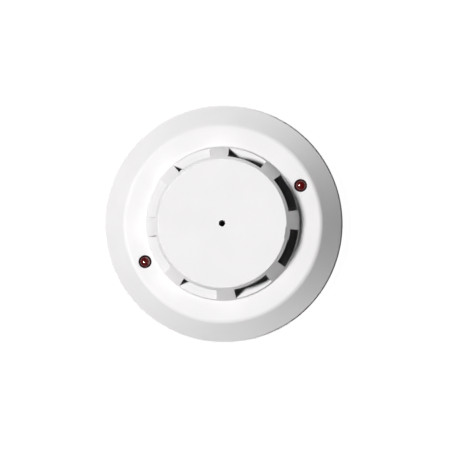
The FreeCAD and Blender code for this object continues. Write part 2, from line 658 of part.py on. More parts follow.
# ---------------------------------------------------------------- board components

def on_board(across, along, heading=0.0, height=0.0):
    """A place on the top face of the board."""
    return Placement(Vector(across, along, BOARD_TOP + height), Rotation(Z_AXIS, heading))


def make_axial(name, kind, across, along, heading):
    """Cylindrical part lying along its leads, which turn down to the board."""
    place = on_board(across, along, heading)
    half = value(f"{kind}_length / 2")
    reach = half + value("lead_overhang")
    centre_height = value(f"{kind}_radius + axial_standoff")
    lying = Rotation(Vector(0, 1, 0), 90)

    def moved(offset, spin):
        return place.multiply(Placement(offset, spin))

    pieces = [
        primitive("Cylinder", name + "_case", moved(Vector(-half, 0, centre_height), lying),
                  Radius=f"{kind}_radius", Height=f"{kind}_length"),
        primitive("Cylinder", name + "_lead", moved(Vector(-reach, 0, centre_height), lying),
                  Radius="lead_radius", Height=f"{kind}_length + 2 * lead_overhang")]
    for side in (-1, 1):
        foot = Vector(side * (reach - value("lead_radius")), 0, 0)
        pieces.append(primitive("Cylinder", f"{name}_leg_{side + 2}", moved(foot, Rotation()),
                                Radius="lead_radius",
                                Height=f"{kind}_radius + axial_standoff"))
    return fused(name, pieces)


def make_disc_part(name, kind, across, along, heading):
    """Coated disc standing on edge on two leads."""
    place = on_board(across, along, heading)
    radius = value(f"{kind}_radius")
    thickness = value(f"{kind}_thickness")
    centre = Vector(0, thickness / 2, radius + value("disc_standoff"))
    upright = Rotation(Vector(1, 0, 0), 90)
    pieces = [primitive("Cylinder", name + "_case", place.multiply(Placement(centre, upright)),
                        Radius=f"{kind}_radius", Height=f"{kind}_thickness")]
    for side in (-1, 1):
        foot = place.multiply(Placement(Vector(side * radius / 2, 0, 0), Rotation()))
        pieces.append(primitive("Cylinder", f"{name}_leg_{side + 2}", foot, Radius="lead_radius",
                                Height=f"disc_standoff + {kind}_radius / 2"))
    return fused(name, pieces)


def make_can(number, across, along, heading):
    """Electrolytic capacitor: aluminium can with a rolled groove near its foot."""
    body = new_body(f"can_{number}")
    waist = "can_radius - can_groove"
    section = outline(body, f"can_section_{number}", [
        ("0", "0"), ("can_radius", "0"), ("can_radius", "can_groove_height - can_groove"),
        (waist, "can_groove_height"), ("can_radius", "can_groove_height + can_groove"),
        ("can_radius", "can_height - can_groove"), (waist, "can_height"), ("0", "can_height")])
    add_feature(body, "Revolution", section)
    body.Placement = on_board(across, along, heading)
    return body


def make_transistor(number, across, along, heading):
    """TO-92 case: a round body with one flat side on three legs."""
    place = on_board(across, along, heading)
    base = place.multiply(Placement(Vector(0, 0, value("transistor_standoff")), Rotation()))
    case = primitive("Cylinder", f"transistor_case_{number}", base,
                     Radius="transistor_radius", Height="transistor_height")
    half = value("transistor_radius")
    corner = Vector(-half, -half, 0)
    trim_place = base.multiply(Placement(corner, Rotation()))
    trim = primitive("Box", f"transistor_trim_{number}", trim_place,
                     Length="2 * transistor_radius",
                     Width="transistor_radius + transistor_flat", Height="transistor_height")
    body = doc.addObject("Part::MultiCommon", f"transistor_body_{number}")
    body.Shapes = [case, trim]
    pieces = [body]
    for leg in (-1, 0, 1):
        foot = place.multiply(Placement(Vector(leg * value("transistor_pitch"), 0, 0), Rotation()))
        pieces.append(primitive("Cylinder", f"transistor_leg_{number}_{leg + 2}", foot,
                                Radius="lead_radius",
                                Height="transistor_standoff + transistor_height / 2"))
    return fused(f"transistor_{number}", pieces)


def make_chip():
    """Controller in a sixteen-pin surface-mount case."""
    place = on_board(*BOARD_LAYOUT["chip"][0])
    length, width = value("chip_length"), value("chip_width")
    corner = Vector(-length / 2, -width / 2, value("chip_standoff"))
    case = primitive("Box", "chip_case", place.multiply(Placement(corner, Rotation())),
                     Length="chip_length", Width="chip_width", Height="chip_height")
    pieces = [case]
    root = width / 2 - value("pin_root")
    pins_per_side = 8
    for index in range(pins_per_side):
        along = (index - (pins_per_side - 1) / 2) * value("pin_pitch") - value("pin_width") / 2
        for side in (-1, 1):
            near = root if side > 0 else -root - value("pin_reach")
            spot = place.multiply(Placement(Vector(along, near, 0), Rotation()))
            pieces.append(primitive("Box", f"chip_pin_{index}_{side + 2}", spot,
                                    Length="pin_width", Width="pin_reach",
                                    Height="chip_standoff + pin_thickness"))
    sub_part(fused("chip", pieces), "controller_chip")


def make_components():
    make_chip()
    cans = [make_can(index, *spot) for index, spot in enumerate(BOARD_LAYOUT["can"])]
    sub_part(grouped("can_group", cans), "electrolytic_capacitors")
    discs = [make_disc_part(f"ceramic_{index}", "disc", *spot)
             for index, spot in enumerate(BOARD_LAYOUT["ceramic"])]
    sub_part(grouped("ceramic_group", discs), "ceramic_capacitors")
    for kind, label in (("resistor", "resistors"), ("diode", "rectifier_diodes")):
        pieces = [make_axial(f"{kind}_{index}", kind, *spot)
                  for index, spot in enumerate(BOARD_LAYOUT[kind])]
        sub_part(grouped(kind + "_group", pieces), label)
    varistor = make_disc_part("varistor", "varistor", *BOARD_LAYOUT["varistor"][0])
    sub_part(varistor, "surge_suppressor")
    transistors = [make_transistor(index, *spot)
                   for index, spot in enumerate(BOARD_LAYOUT["transistor"])]
    sub_part(grouped("transistor_group", transistors), "transistors")
    sub_part(make_axial("reed", "reed", *BOARD_LAYOUT["reed"][0]), "reed_switch")
    reference = make_disc_part("reference", "disc", *BOARD_LAYOUT["reference"][0])
    sub_part(reference, "reference_thermistor")


# ---------------------------------------------------------------- build, check, write

BOARD_TOP = value("plate_bottom + plate_thickness + post_height + board_thickness")

make_mounting_base()
for terminal in TERMINALS:
    make_terminal(terminal)
make_back_plate()
for terminal in TERMINALS:
    make_contact_blade(terminal)
make_board_and_screws()
make_outer_cover()
make_sensor_cage()
make_chamber_floor()
make_thermistor()
make_lamps()
make_components()
doc.recompute()

for item in doc.Objects:
    if {"Invalid", "Error"} & set(item.State):
        raise ValueError(f"{item.Name} did not build: {item.State}")
for item in sub_parts:
    if item.Shape.isNull() or not item.Shape.isValid():
        raise ValueError(f"{item.Label} has no valid shape")

os.makedirs("parts", exist_ok=True)
for item in sub_parts:
    item.Shape.exportStep(f"parts/{item.Label}.step")
    box = item.Shape.BoundBox
    print(f"{item.Label:26s} solids {len(item.Shape.Solids):2d} volume {item.Shape.Volume:9.1f} "
          f"z {box.ZMin:6.2f} to {box.ZMax:6.2f} x {box.XMin:7.2f} to {box.XMax:7.2f}")
print(len(sub_parts), "nodes")
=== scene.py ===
"""Looks of the point heat detector: finished meshes, materials, light and camera.

Everything is in metres in the frame of the CAD part; outlines are given in millimetres as
(radius, height, rounding) and turned about the vertical axis.
"""

import math

import bmesh
import bpy
from mathutils import Matrix, Vector


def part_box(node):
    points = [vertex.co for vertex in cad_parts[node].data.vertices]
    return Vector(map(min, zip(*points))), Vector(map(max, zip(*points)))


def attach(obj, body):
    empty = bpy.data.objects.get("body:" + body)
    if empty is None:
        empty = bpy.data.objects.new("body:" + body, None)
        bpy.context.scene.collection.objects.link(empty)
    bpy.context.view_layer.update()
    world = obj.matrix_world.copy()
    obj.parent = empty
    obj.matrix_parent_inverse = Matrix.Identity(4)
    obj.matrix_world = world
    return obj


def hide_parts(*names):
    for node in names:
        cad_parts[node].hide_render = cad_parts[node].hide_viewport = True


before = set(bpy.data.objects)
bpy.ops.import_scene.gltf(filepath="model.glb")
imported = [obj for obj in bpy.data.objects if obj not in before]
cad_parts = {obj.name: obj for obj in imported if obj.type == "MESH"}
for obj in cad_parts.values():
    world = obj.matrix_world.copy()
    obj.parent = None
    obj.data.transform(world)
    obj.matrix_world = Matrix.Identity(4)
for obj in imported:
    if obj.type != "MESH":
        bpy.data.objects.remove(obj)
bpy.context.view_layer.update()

MM = 0.001
SEGMENTS = 288
SMOOTH_BELOW = 35.0
FLAT_MARGIN = 0.1
TERMINALS = (1, 2, 3, 4)


def in_mm(node):
    """Lowest and highest corner of a CAD node, in millimetres."""
    low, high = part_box(node)
    return low / MM, high / MM


# ------------------------------------------------------------ sizes, in millimetres

base_high = in_mm("mounting_base")[1]
cover_low, cover_high = in_mm("outer_cover")
cage_low, cage_high = in_mm("sensor_cage")
floor_low, floor_high = in_mm("chamber_floor")
lamp_low, lamp_high = in_mm("alarm_lamp_1")
guide_low, guide_high = in_mm("thermistor_guide")
bead_low, bead_high = in_mm("thermistor_bead")

BASE_RADIUS = base_high.x
BASE_TOP = base_high.z
BASE_WALL = 2.4
BASE_FLOOR = 2.4
CABLE_HOLE = 11.0
CABLE_LIP = 12.6
CABLE_LIP_TOP = 4.2
FIXING_RADIUS = 2.25
FIXING_CUT = (-1, 5)                # the cutting bars reach through the floor of the base
SLOT_CENTRE = 30.0
SLOT_HALF_STRAIGHT = 2.25
ROUND_HOLE_CENTRE = 25.0
ROOT_DEPTH = 0.2                    # hooks and bosses start this far inside the floor
HOOK_ANGLE = 15.0
HOOK_WIDTH = 14.0                   # degrees
HOOK_OUTER = 45.6
HOOK_STEM = 44.0
HOOK_TIP = 40.9
HOOK_UNDER = 6.6
HOOK_TOP = 8.2
TERMINAL_RADIUS = 33.0
TERMINAL_BORE = 1.5
TERMINAL_BOSS = 3.9
TERMINAL_BOSS_TOP = 3.6

COVER_RADIUS = cover_high.x
COVER_BOTTOM = cover_low.z
COVER_WALL = 2.0
LAND_TOP = 11.0
SHOULDER_RADIUS = 40.9
SHOULDER_HEIGHT = 24.3
OPENING_RADIUS = 31.9
RING_HEIGHT = 24.6
COVER_BOSS_CIRCLE = 42.8
COVER_BOSS_ANGLE = 60.0
COVER_BOSS_BORE = 1.0
COVER_BOSS_RADIUS = 2.6
COVER_BOSS_BOTTOM = 11.6
COVER_BOSS_TOP = 16.9

LAMP_CIRCLE = 35.85
LAMP_ANGLE = 23.4
LAMP_ANGLES = (LAMP_ANGLE, LAMP_ANGLE + 180)
LAMP_HOLE = 2.7
LAMP_HOLE_CUT = (15.0, 30.0)        # the cutting bars reach through the ring
# the worn edge of a lamp hole on its way up, as (wider than the hole, above the ring)
LAMP_HOLE_EDGE = ((-0.02, -0.12), (0.03, -0.05), (0.1, 0.0), (0.4, 0.08))
LAMP_RADIUS = 2.5
LAMP_FLANGE = 2.9
LAMP_FLANGE_THICKNESS = 1.0
# painted shade: between these depths the lens colour runs from red at the top to near black on the
# dome's sides
LENS_RED_DEPTH = 0.3                # depths below the top of the lens
LENS_SHADED_DEPTH = 1.6
CUP_RIM_DEPTH = 3.9
CUP_FLOOR_DEPTH = 4.6
CUP_FOOT_DEPTH = 5.8
CUP_FOOT_RADIUS = 0.75
CUP_FLOOR_RADIUS = 0.45
CUP_OUTER = 1.15
CUP_INNER = 1.0
STEM_HALF = 0.25
SIDE_POST = (-1.75, -1.25)
SIDE_POST_HALF = 0.3
DIE_HALF = 0.14
SLEEVE_INNER = 2.54                 # near-black collar round each lens, standing in for the shade in the gap
SLEEVE_OUTER = LAMP_HOLE - 0.01
SLEEVE_LIP = 2.33
SLEEVE_TOP = 24.2
SLEEVE_LIP_DEPTH = 0.3
SLEEVE_THROAT_DEPTH = 0.8
SLEEVE_GAP = 0.2

CAGE_TOP = cage_high.z
CAGE_FOOT_RADIUS = 31.9
CAGE_TOP_RADIUS = 26.3
CAGE_WALL = 1.7
CAP_THICKNESS = 2.2
CAGE_FLANGE_TOP = 22.2
FLANGE_RADIUS = cage_high.x
WINDOW_BOTTOM = 26.1
WINDOW_TOP = 36.4
CAP_UNDER = CAGE_TOP - CAP_THICKNESS
DRUM_TAPER = (CAGE_FOOT_RADIUS - CAGE_TOP_RADIUS) / (CAGE_TOP - RING_HEIGHT)
WINDOW_HALF = 15.0
WINDOW_FIRST = 22.5
WINDOW_PITCH = 45.0
FOOT_FILLET = 0.7
LIP_BEYOND = 0.1                    # how far the lip reaches past the fillet
LIP_ABOVE = 0.01                    # and above and below the ring's surface
LIP_BELOW = 0.15
SHADE_INSET = 0.5                # the painted shade inside the drum starts this far in from its outer face
SHADE_ABOVE_SILL = 0.05
SHADE_ABOVE_CAP_UNDER = 0.4
BREATHER_RADIUS = 1.3
TAB_DROP = 1.3
TAB_OVERLAP = 0.4
TAB_ANGLE = -12.0
TAB_WIDTH = 10.0
RIM_NOTCH_DEPTH = 0.4
RIM_NOTCH_HEIGHT = 2.0
RIM_NOTCH_ANGLE = -11.0
NOTCH_RADIUS = 3.2

GUIDE_FLANGE = guide_high.x
GUIDE_THICKNESS = 1.2
GUIDE_BORE = 1.0
GUIDE_POST = 2.7
GUIDE_TIP = 1.7

FLOOR_TOP = floor_high.z
FLOOR_RADIUS = 29.64
FLOOR_THICKNESS = 1.5
FLOOR_HOLE = 3.0
FLOOR_FLANGE_BOTTOM = 18.9
FLOOR_FLANGE_TOP = 20.4
FLOOR_LEG_CIRCLE = 33.2
FLOOR_LEG_RADIUS = 1.8
FLOOR_LEG_ROOT = 0.3

TRACK_CELLS_PER_METRE = 220.0


# ------------------------------------------------------------ mesh helpers

def rounded(corners, steps=5):
    """Outline through (radius, height, rounding) corners, every rounding a true arc.

    A narrow flat strip on each side of a rounding keeps the broad faces flat in the shading.
    """
    points = []
    count = len(corners)
    for index, (radius, height, rounding) in enumerate(corners):
        here = Vector((radius, height))
        if rounding <= 0:
            points.append(here)
            continue
        back = (Vector(corners[index - 1][:2]) - here).normalized()
        on = (Vector(corners[(index + 1) % count][:2]) - here).normalized()
        half = back.angle(on) / 2
        centre = here + (back + on).normalized() * rounding / math.sin(half)
        first = here + back * rounding / math.tan(half) - centre
        last = here + on * rounding / math.tan(half) - centre
        turn = math.atan2(first.x * last.y - first.y * last.x, first.dot(last))
        points.append(centre + first + back * min(FLAT_MARGIN, rounding))
        for step in range(steps + 1):
            spun = Matrix.Rotation(turn * step / steps, 2) @ first
            points.append(centre + spun)
        points.append(centre + last + on * min(FLAT_MARGIN, rounding))
    return points


def ring_of(bm, points, angle):
    """One vertex per outline point, turned to an angle in degrees."""
    heading = math.radians(angle)
    return [bm.verts.new((p.x * MM * math.cos(heading), p.x * MM * math.sin(heading), p.y * MM))
            for p in points]


def lathe(corners, segments=SEGMENTS, start=0.0, sweep=360.0):
    """bmesh of a closed outline turned about Z; a part turn gets flat ends.

    Points on the axis fall together and are merged.
    """
    bm = bmesh.new()
    points = rounded(corners)
    whole = sweep >= 360.0
    steps = segments if whole else segments + 1
    rings = [ring_of(bm, points, start + sweep * index / segments) for index in range(steps)]
    count = len(points)
    for index in range(segments):
        near, far = rings[index], rings[(index + 1) % steps]
        for low in range(count):
            high = (low + 1) % count
            bm.faces.new((near[low], far[low], far[high], near[high]))
    if not whole:
        bm.faces.new(rings[0])
        bm.faces.new(rings[-1])
    bmesh.ops.remove_doubles(bm, verts=bm.verts, dist=1e-7)
    bmesh.ops.dissolve_degenerate(bm, edges=bm.edges, dist=1e-8)
    bmesh.ops.recalc_face_normals(bm, faces=bm.faces)
    return bm


def placed(bm, across=0.0, along=0.0, up=0.0, tilt=None):
    """Move a bmesh by millimetres, after an optional rotation matrix."""
    if tilt is not None:
        bm.transform(tilt.to_4x4())
    bm.transform(Matrix.Translation(Vector((across, along, up)) * MM))
    return bm


def soften(bm, width, sharper_than=40.0, segments=3, keep=lambda edge: False):
    """Round every edge sharper than an angle, but for the ones to keep."""
    limit = math.radians(sharper_than)
    edges = [edge for edge in bm.edges if not keep(edge)
             and len(edge.link_faces) == 2 and edge.calc_face_angle(0.0) > limit]
    bmesh.ops.bevel(bm, geom=edges, offset=width * MM, offset_type="OFFSET", segments=segments,
                    profile=0.5, affect="EDGES", clamp_overlap=True)
    return bm


def joined(parts):
    """One bmesh from several."""
    whole = bmesh.new()
    for part in parts:
        mesh = bpy.data.meshes.new("part")
        part.to_mesh(mesh)
        part.free()
        whole.from_mesh(mesh)
        bpy.data.meshes.remove(mesh)
    return whole


def block(low, high):
    """Box between two corners in millimetres."""
    bm = bmesh.new()
    bmesh.ops.create_cube(bm, size=1.0)
    middle = [(a + b) / 2 * MM for a, b in zip(low, high)]
    extent = [(b - a) * MM for a, b in zip(low, high)]
    for vert in bm.verts:
        vert.co = Vector(m + c * e for m, c, e in zip(middle, vert.co, extent))
    return bm


def rod(radius, bottom, top, segments=48, across=0.0, along=0.0, rounding=0.0):
    """Upright round bar."""
    corners = [(0, bottom, 0), (radius, bottom, rounding), (radius, top, rounding), (0, top, 0)]
    return placed(lathe(corners, segments), across, along)


def at_angle(radius, angle):
    """x and y of a point on a circle."""
    heading = math.radians(angle)
    return radius * math.cos(heading), radius * math.sin(heading)


def lamp_clearance(bottom, top):
    """Upright bars that notch a flange round the two lamps."""
    return [rod(NOTCH_RADIUS, bottom - 1, top + 1, 48, *at_angle(LAMP_CIRCLE, angle))
            for angle in LAMP_ANGLES]


def smooth(mesh, below=SMOOTH_BELOW):
    """Smooth faces, with sharp edges above an angle."""
    mesh.polygons.foreach_set("use_smooth", [True] * len(mesh.polygons))
    mesh.set_sharp_from_angle(angle=math.radians(below))


def object_from(bm, name, material, smooth_below=SMOOTH_BELOW):
    """Blender object made of a bmesh, which is used up."""
    mesh = bpy.data.meshes.new(name)
    bm.to_mesh(mesh)
    bm.free()
    smooth(mesh, smooth_below)
    made = bpy.data.objects.new(name, mesh)
    bpy.context.scene.collection.objects.link(made)
    made.data.materials.append(material)
    return made


def cut_away(target, cutters):
    """Subtract closed bmeshes from an object, for good."""
    tool = object_from(joined(cutters), "cutter", target.data.materials[0])
    cut = target.modifiers.new("cut", "BOOLEAN")
    cut.operation = "DIFFERENCE"
    cut.solver = "EXACT"
    cut.object = tool
    graph = bpy.context.evaluated_depsgraph_get()
    mesh = bpy.data.meshes.new_from_object(target.evaluated_get(graph))
    target.modifiers.clear()
    old = target.data
    name = old.name
    target.data = mesh
    bpy.data.meshes.remove(old)
    mesh.name = name
    bpy.data.objects.remove(tool)
    smooth(mesh)


def merged(cut, extras):
    """bmesh of a cut object with further closed parts; the object itself is dropped."""
    whole = bmesh.new()
    whole.from_mesh(cut.data)
    bpy.data.objects.remove(cut)
    return joined([whole, *extras])


def stands_for(piece, node, body):
    """Put a finished piece in the place of a CAD node."""
    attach(piece, body)
    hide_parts(node)


# ------------------------------------------------------------ materials

class Surface:
    """A Principled material with its node tree at hand."""

    def __init__(self, name, roughness=0.45, metallic=0.0, **sockets):
        self.material = bpy.data.materials.new(name)
        self.material.use_nodes = True
        self.tree = self.material.node_tree
        self.shader = self.tree.nodes["Principled BSDF"]
        self.shader.inputs["Roughness"].default_value = roughness
        self.shader.inputs["Metallic"].default_value = metallic
        for socket, amount in sockets.items():
            self.shader.inputs[socket.replace("_", " ")].default_value = amount
        self.place = self.tree.nodes.new("ShaderNodeTexCoord").outputs["Object"]
        self.normal = None

    def add(self, kind, **settings):
        """A node with its inputs and properties set."""
        node = self.tree.nodes.new("ShaderNode" + kind)
        for name, setting in settings.items():
            if name in node.inputs:
                node.inputs[name].default_value = setting
            else:
                setattr(node, name, setting)
        return node

    def join(self, start, end):
        """Link an output to an input."""
        self.tree.links.new(start, end)

    def calculate(self, operation, *terms):
        """Math node over sockets and constants."""
        node = self.add("Math", operation=operation)
        for term, socket in zip(terms, node.inputs):
            if isinstance(term, bpy.types.NodeSocket):
                self.join(term, socket)
            else:
                socket.default_value = term
        return node.outputs[0]

    def axes(self):
        """X, Y and Z of the place on the object, in metres."""
        split = self.add("SeparateXYZ")
        self.join(self.place, split.inputs["Vector"])
        return split.outputs["X"], split.outputs["Y"], split.outputs["Z"]

    def blend(self, factor, under, over):
        """Colour socket that gives way to a fixed colour."""
        mix = self.add("Mix", data_type="RGBA")
        first, second = mix.inputs[6], mix.inputs[7]
        self.join(factor, mix.inputs[0])
        self.join(under, first)
        second.default_value = (*over, 1.0)
        return mix.outputs[2]

    def noise(self, size, detail=3.0, stretch=(1, 1, 1)):
        """Noise whose features are about size millimetres across."""
        scaled = self.add("Mapping")
        scaled.inputs["Scale"].default_value = [1 / (size * MM * s) for s in stretch]
        self.join(self.place, scaled.inputs["Vector"])
        made = self.add("TexNoise", Scale=1.0, Detail=detail)
        self.join(scaled.outputs["Vector"], made.inputs["Vector"])
        return made.outputs["Fac"]

    def ramp(self, value, stops):
        """Colour ramp over a value; stops are (position, colour)."""
        node = self.add("ValToRGB")
        elements = node.color_ramp.elements
        while len(elements) < len(stops):
            elements.new(0.5)
        for element, (position, colour) in zip(elements, stops):
            element.position = position
            element.color = (*colour, 1.0)
        self.join(value, node.inputs["Fac"])
        return node.outputs["Color"]

    def mottled(self, colour, size, depth):
        """Base colour that drifts a little lighter and darker."""
        dark = [channel * (1 - depth) for channel in colour]
        light = [min(1.0, channel * (1 + depth)) for channel in colour]
        return self.ramp(self.noise(size), [(0.35, dark), (0.65, light)])

    def colour(self, output):
        """Base colour from an output."""
        self.join(output, self.shader.inputs["Base Color"])

    def rough(self, value, low, high):
        """Roughness that follows a value between two limits."""
        spread = self.add("MapRange")
        spread.inputs["To Min"].default_value = low
        spread.inputs["To Max"].default_value = high
        self.join(value, spread.inputs["Value"])
        self.join(spread.outputs["Result"], self.shader.inputs["Roughness"])

    def bump(self, value, depth):
        """Relief of a depth in millimetres, on top of any earlier relief."""
        node = self.add("Bump", Strength=1.0, Distance=depth * MM)
        self.join(value, node.inputs["Height"])
        if self.normal is not None:
            self.join(self.normal, node.inputs["Normal"])
        self.normal = node.outputs["Normal"]
        self.join(self.normal, self.shader.inputs["Normal"])

    def darker_in_corners(self, output, reach, colour):
        """Painted shade: the colour darkens where faces stand close together."""
        hidden = self.add("AmbientOcclusion", samples=6)
        hidden.inputs["Distance"].default_value = reach * MM
        factor = self.ramp(hidden.outputs["AO"], [(0.25, (1, 1, 1)), (0.8, (0, 0, 0))])
        return self.blend(factor, output, colour)

    def moulded_relief(self, grain=0.35, depth=0.006):
        """Spark-eroded grain over a slow waviness."""
        self.bump(self.noise(grain, 2.0), depth)
        self.bump(self.noise(9.0, 1.0), 0.012)


def moulded_plastic(name, colour, roughness, grain=0.35, depth=0.006, corner_shade=True):
    """Moulded plastic: slow drift of tone, painted shade in corners, spark-eroded grain and duller
    patches.
    """
    made = Surface(name, roughness)
    shade = made.mottled(colour, 14.0, 0.012)
    if corner_shade:
        # painted shade in corners: the colour darkens to 72 per cent where faces stand close
        # together
        shade = made.darker_in_corners(shade, 0.6, [channel * 0.72 for channel in colour])
    made.colour(shade)
    made.rough(made.noise(6.0), roughness - 0.05, roughness + 0.06)
    made.moulded_relief(grain, depth)
    return made.material


def drum_and_cover_plastic():
    """White moulded plastic with painted shade: the faces inside the drum are painted near black,
    as if in deep shade.
    """
    made = Surface("housing_plastic", 0.62)
    x, y, z = made.axes()
    squares = made.calculate("MULTIPLY_ADD", y, y, made.calculate("MULTIPLY", x, x))
    radius = made.calculate("SQRT", squares)
    # a drum face keeps one value of radius + height * taper all the way up
    drum_face = made.calculate("MULTIPLY_ADD", z, DRUM_TAPER, radius)
    outer_face = CAGE_TOP_RADIUS + CAGE_TOP * DRUM_TAPER
    inside = made.calculate("LESS_THAN", drum_face, (outer_face - SHADE_INSET) * MM)
    below = made.calculate("LESS_THAN", z, (CAP_UNDER + SHADE_ABOVE_CAP_UNDER) * MM)
    above = made.calculate("GREATER_THAN", z, (WINDOW_BOTTOM + SHADE_ABOVE_SILL) * MM)
    # painted shade: inside the drum, between the sill and just under the cap, the colour is
    # painted near black
    painted_shade = made.calculate("MULTIPLY", made.calculate("MULTIPLY", inside, below), above)
    made.colour(made.blend(painted_shade, made.mottled(WHITE, 14.0, 0.012), PAINTED_DRUM_SHADE))
    made.rough(made.noise(6.0), 0.58, 0.7)
    made.moulded_relief()
    return made.material


def worked_metal(name, colour, roughness, stretch, tarnish):
    """Stamped or turned metal with drawn lines and a little tarnish."""
    made = Surface(name, roughness, metallic=1.0)
    lines = made.noise(0.25, 4.0, stretch)
    patches = made.noise(2.5)
    dull = [channel * (1 - tarnish) for channel in colour]
    made.colour(made.ramp(patches, [(0.3, dull), (0.7, colour)]))
    made.rough(lines, roughness - 0.08, roughness + 0.12)
    made.bump(lines, 0.004)
    return made.material


def dipped_coating(name, colour, roughness=0.22):
    """Glossy dipped resin with an uneven skin."""
    made = Surface(name, roughness, Coat_Weight=0.4)
    made.colour(made.mottled(colour, 1.2, 0.12))
    made.bump(made.noise(0.9), 0.05)
    return made.material


def lamp_resin():
    """Clear red epoxy of the alarm lamps, with painted shade: the colour darkens down the sides of
    the dome.
    """
    made = Surface("lamp_resin", 0.06, IOR=1.53, Transmission_Weight=0.75, Coat_Weight=1.0,
                   Coat_Roughness=0.05, Coat_IOR=2.3)
    # painted shade: the colour runs from near black low on the dome to red at its top
    height = made.add("MapRange")
    height.inputs["From Min"].default_value = (lamp_high.z - LENS_SHADED_DEPTH) * MM
    height.inputs["From Max"].default_value = (lamp_high.z - LENS_RED_DEPTH) * MM
    made.join(made.axes()[2], height.inputs["Value"])
    uneven = made.calculate("MULTIPLY_ADD", made.noise(1.5), 0.2, height.outputs["Result"])
    made.colour(made.ramp(uneven, [(0.1, (0.02, 0.001, 0.002)), (0.6, (0.16, 0.001, 0.003)),
                                   (1.0, (0.34, 0.003, 0.005))]))
    made.bump(made.noise(1.4, 1.0), 0.01)
    return made.material


def board_laminate():
    """Green solder mask with tracks showing through as a lighter relief."""
    made = Surface("board_laminate", 0.3, Coat_Weight=0.3)
    cells = made.add("TexBrick", Scale=1.0)
    scaled = made.add("Mapping")
    scaled.inputs["Scale"].default_value = [TRACK_CELLS_PER_METRE] * 3
    made.join(made.place, scaled.inputs["Vector"])
    made.join(scaled.outputs["Vector"], cells.inputs["Vector"])
    cells.inputs["Mortar Size"].default_value = 0.09
    tracks = cells.outputs["Fac"]
    made.colour(made.ramp(tracks, [(0.2, (0.01, 0.085, 0.03)), (0.8, (0.03, 0.17, 0.06))]))
    made.bump(tracks, 0.035)
    made.bump(made.noise(0.3), 0.004)
    return made.material


def reed_glass():
    """Faintly green glass tube of the reed switch."""
    made = Surface("reed_glass", 0.05, IOR=1.5, Transmission_Weight=0.85)
    made.colour(made.mottled((0.72, 0.86, 0.78), 2.0, 0.06))
    made.bump(made.noise(2.0), 0.01)
    return made.material


WHITE = (0.85, 0.836, 0.841)
# near-black colour painted over the faces inside the drum as shade
PAINTED_DRUM_SHADE = (0.016, 0.016, 0.017)
housing = drum_and_cover_plastic()
base_white = moulded_plastic("base_plastic", (0.83, 0.818, 0.822), 0.56)
chamber_white = moulded_plastic("chamber_plastic", (0.83, 0.82, 0.822), 0.56)
black_plastic = moulded_plastic("black_plastic", (0.014, 0.014, 0.015), 0.75, corner_shade=False)
# near-black colour of the lamp collars, a stand-in for the shade in the gap round each lens
gap_shade_plastic = moulded_plastic("gap_shade_plastic", (0.02, 0.003, 0.004), 0.8, corner_shade=False)
chip_epoxy = moulded_plastic("chip_epoxy", (0.02, 0.02, 0.022), 0.6, 0.12, 0.008, False)
bead_epoxy = dipped_coating("bead_epoxy", (0.012, 0.012, 0.014))
brass = worked_metal("contact_brass", (0.78, 0.62, 0.32), 0.32, (1, 8, 1), 0.18)
steel = worked_metal("plated_steel", (0.72, 0.72, 0.74), 0.3, (1, 1, 6), 0.12)
tinned = worked_metal("tinned_wire", (0.75, 0.75, 0.73), 0.35, (1, 1, 8), 0.15)
resin = lamp_resin()


# ------------------------------------------------------------ pieces of the head

def make_outer_cover():
    """Land, conical skirt and flat ring, hollow underneath, with two lamp holes."""
    run = COVER_RADIUS - SHOULDER_RADIUS
    rise = SHOULDER_HEIGHT - LAND_TOP
    slant = COVER_WALL * math.hypot(run, rise) / rise
    inner_land = COVER_RADIUS - COVER_WALL
    drop = (slant - COVER_WALL) * rise / run
    inner_shoulder = SHOULDER_RADIUS - slant + COVER_WALL * run / rise
    shell = lathe([
        (inner_land, COVER_BOTTOM, 0.3), (COVER_RADIUS, COVER_BOTTOM, 0.35),
        (COVER_RADIUS, LAND_TOP, 1.2), (SHOULDER_RADIUS, SHOULDER_HEIGHT, 2.2),
        (OPENING_RADIUS, RING_HEIGHT, 0), (OPENING_RADIUS, RING_HEIGHT - COVER_WALL, 0.3),
        (inner_shoulder, SHOULDER_HEIGHT - COVER_WALL, 1.0),
        (inner_land, LAND_TOP - drop, 0.5)])
    made = object_from(shell, "cover_shell", housing)
    slope = math.atan2(RING_HEIGHT - SHOULDER_HEIGHT, SHOULDER_RADIUS - OPENING_RADIUS)
    surface = RING_HEIGHT - (LAMP_CIRCLE - OPENING_RADIUS) * math.tan(slope)
    edge_low, edge_high = LAMP_HOLE_EDGE[0][1], LAMP_HOLE_EDGE[-1][1]
    edge = [(LAMP_HOLE + wider, height, 0) for wider, height in LAMP_HOLE_EDGE]
    for angle in LAMP_ANGLES:
        across, along = at_angle(LAMP_CIRCLE, angle)
        cut_away(made, [rod(LAMP_HOLE, *LAMP_HOLE_CUT, 64, across, along)])
        flare = lathe([(0, edge_low, 0), *edge, (0, edge_high, 0)], 64)
        lean = Matrix.Rotation(math.radians(angle), 3, "Z") @ Matrix.Rotation(slope, 3, "Y")
        cut_away(made, [placed(flare, across, along, surface, lean)])
    bosses = []
    for number in range(3):
        tube = lathe([(COVER_BOSS_BORE, COVER_BOSS_BOTTOM, 0.1),
                      (COVER_BOSS_RADIUS, COVER_BOSS_BOTTOM, 0.2),
                      (COVER_BOSS_RADIUS, COVER_BOSS_TOP, 0.2),
                      (COVER_BOSS_BORE, COVER_BOSS_TOP, 0.1)], 48)
        bosses.append(placed(tube, *at_angle(COVER_BOSS_CIRCLE, COVER_BOSS_ANGLE + 120 * number)))
    stands_for(object_from(merged(made, bosses), "cover_shell", housing), "outer_cover", "head")


def drum_radius(height):
    """Outer radius of the tapered drum at a height."""
    return CAGE_TOP_RADIUS + (CAGE_TOP - height) * DRUM_TAPER


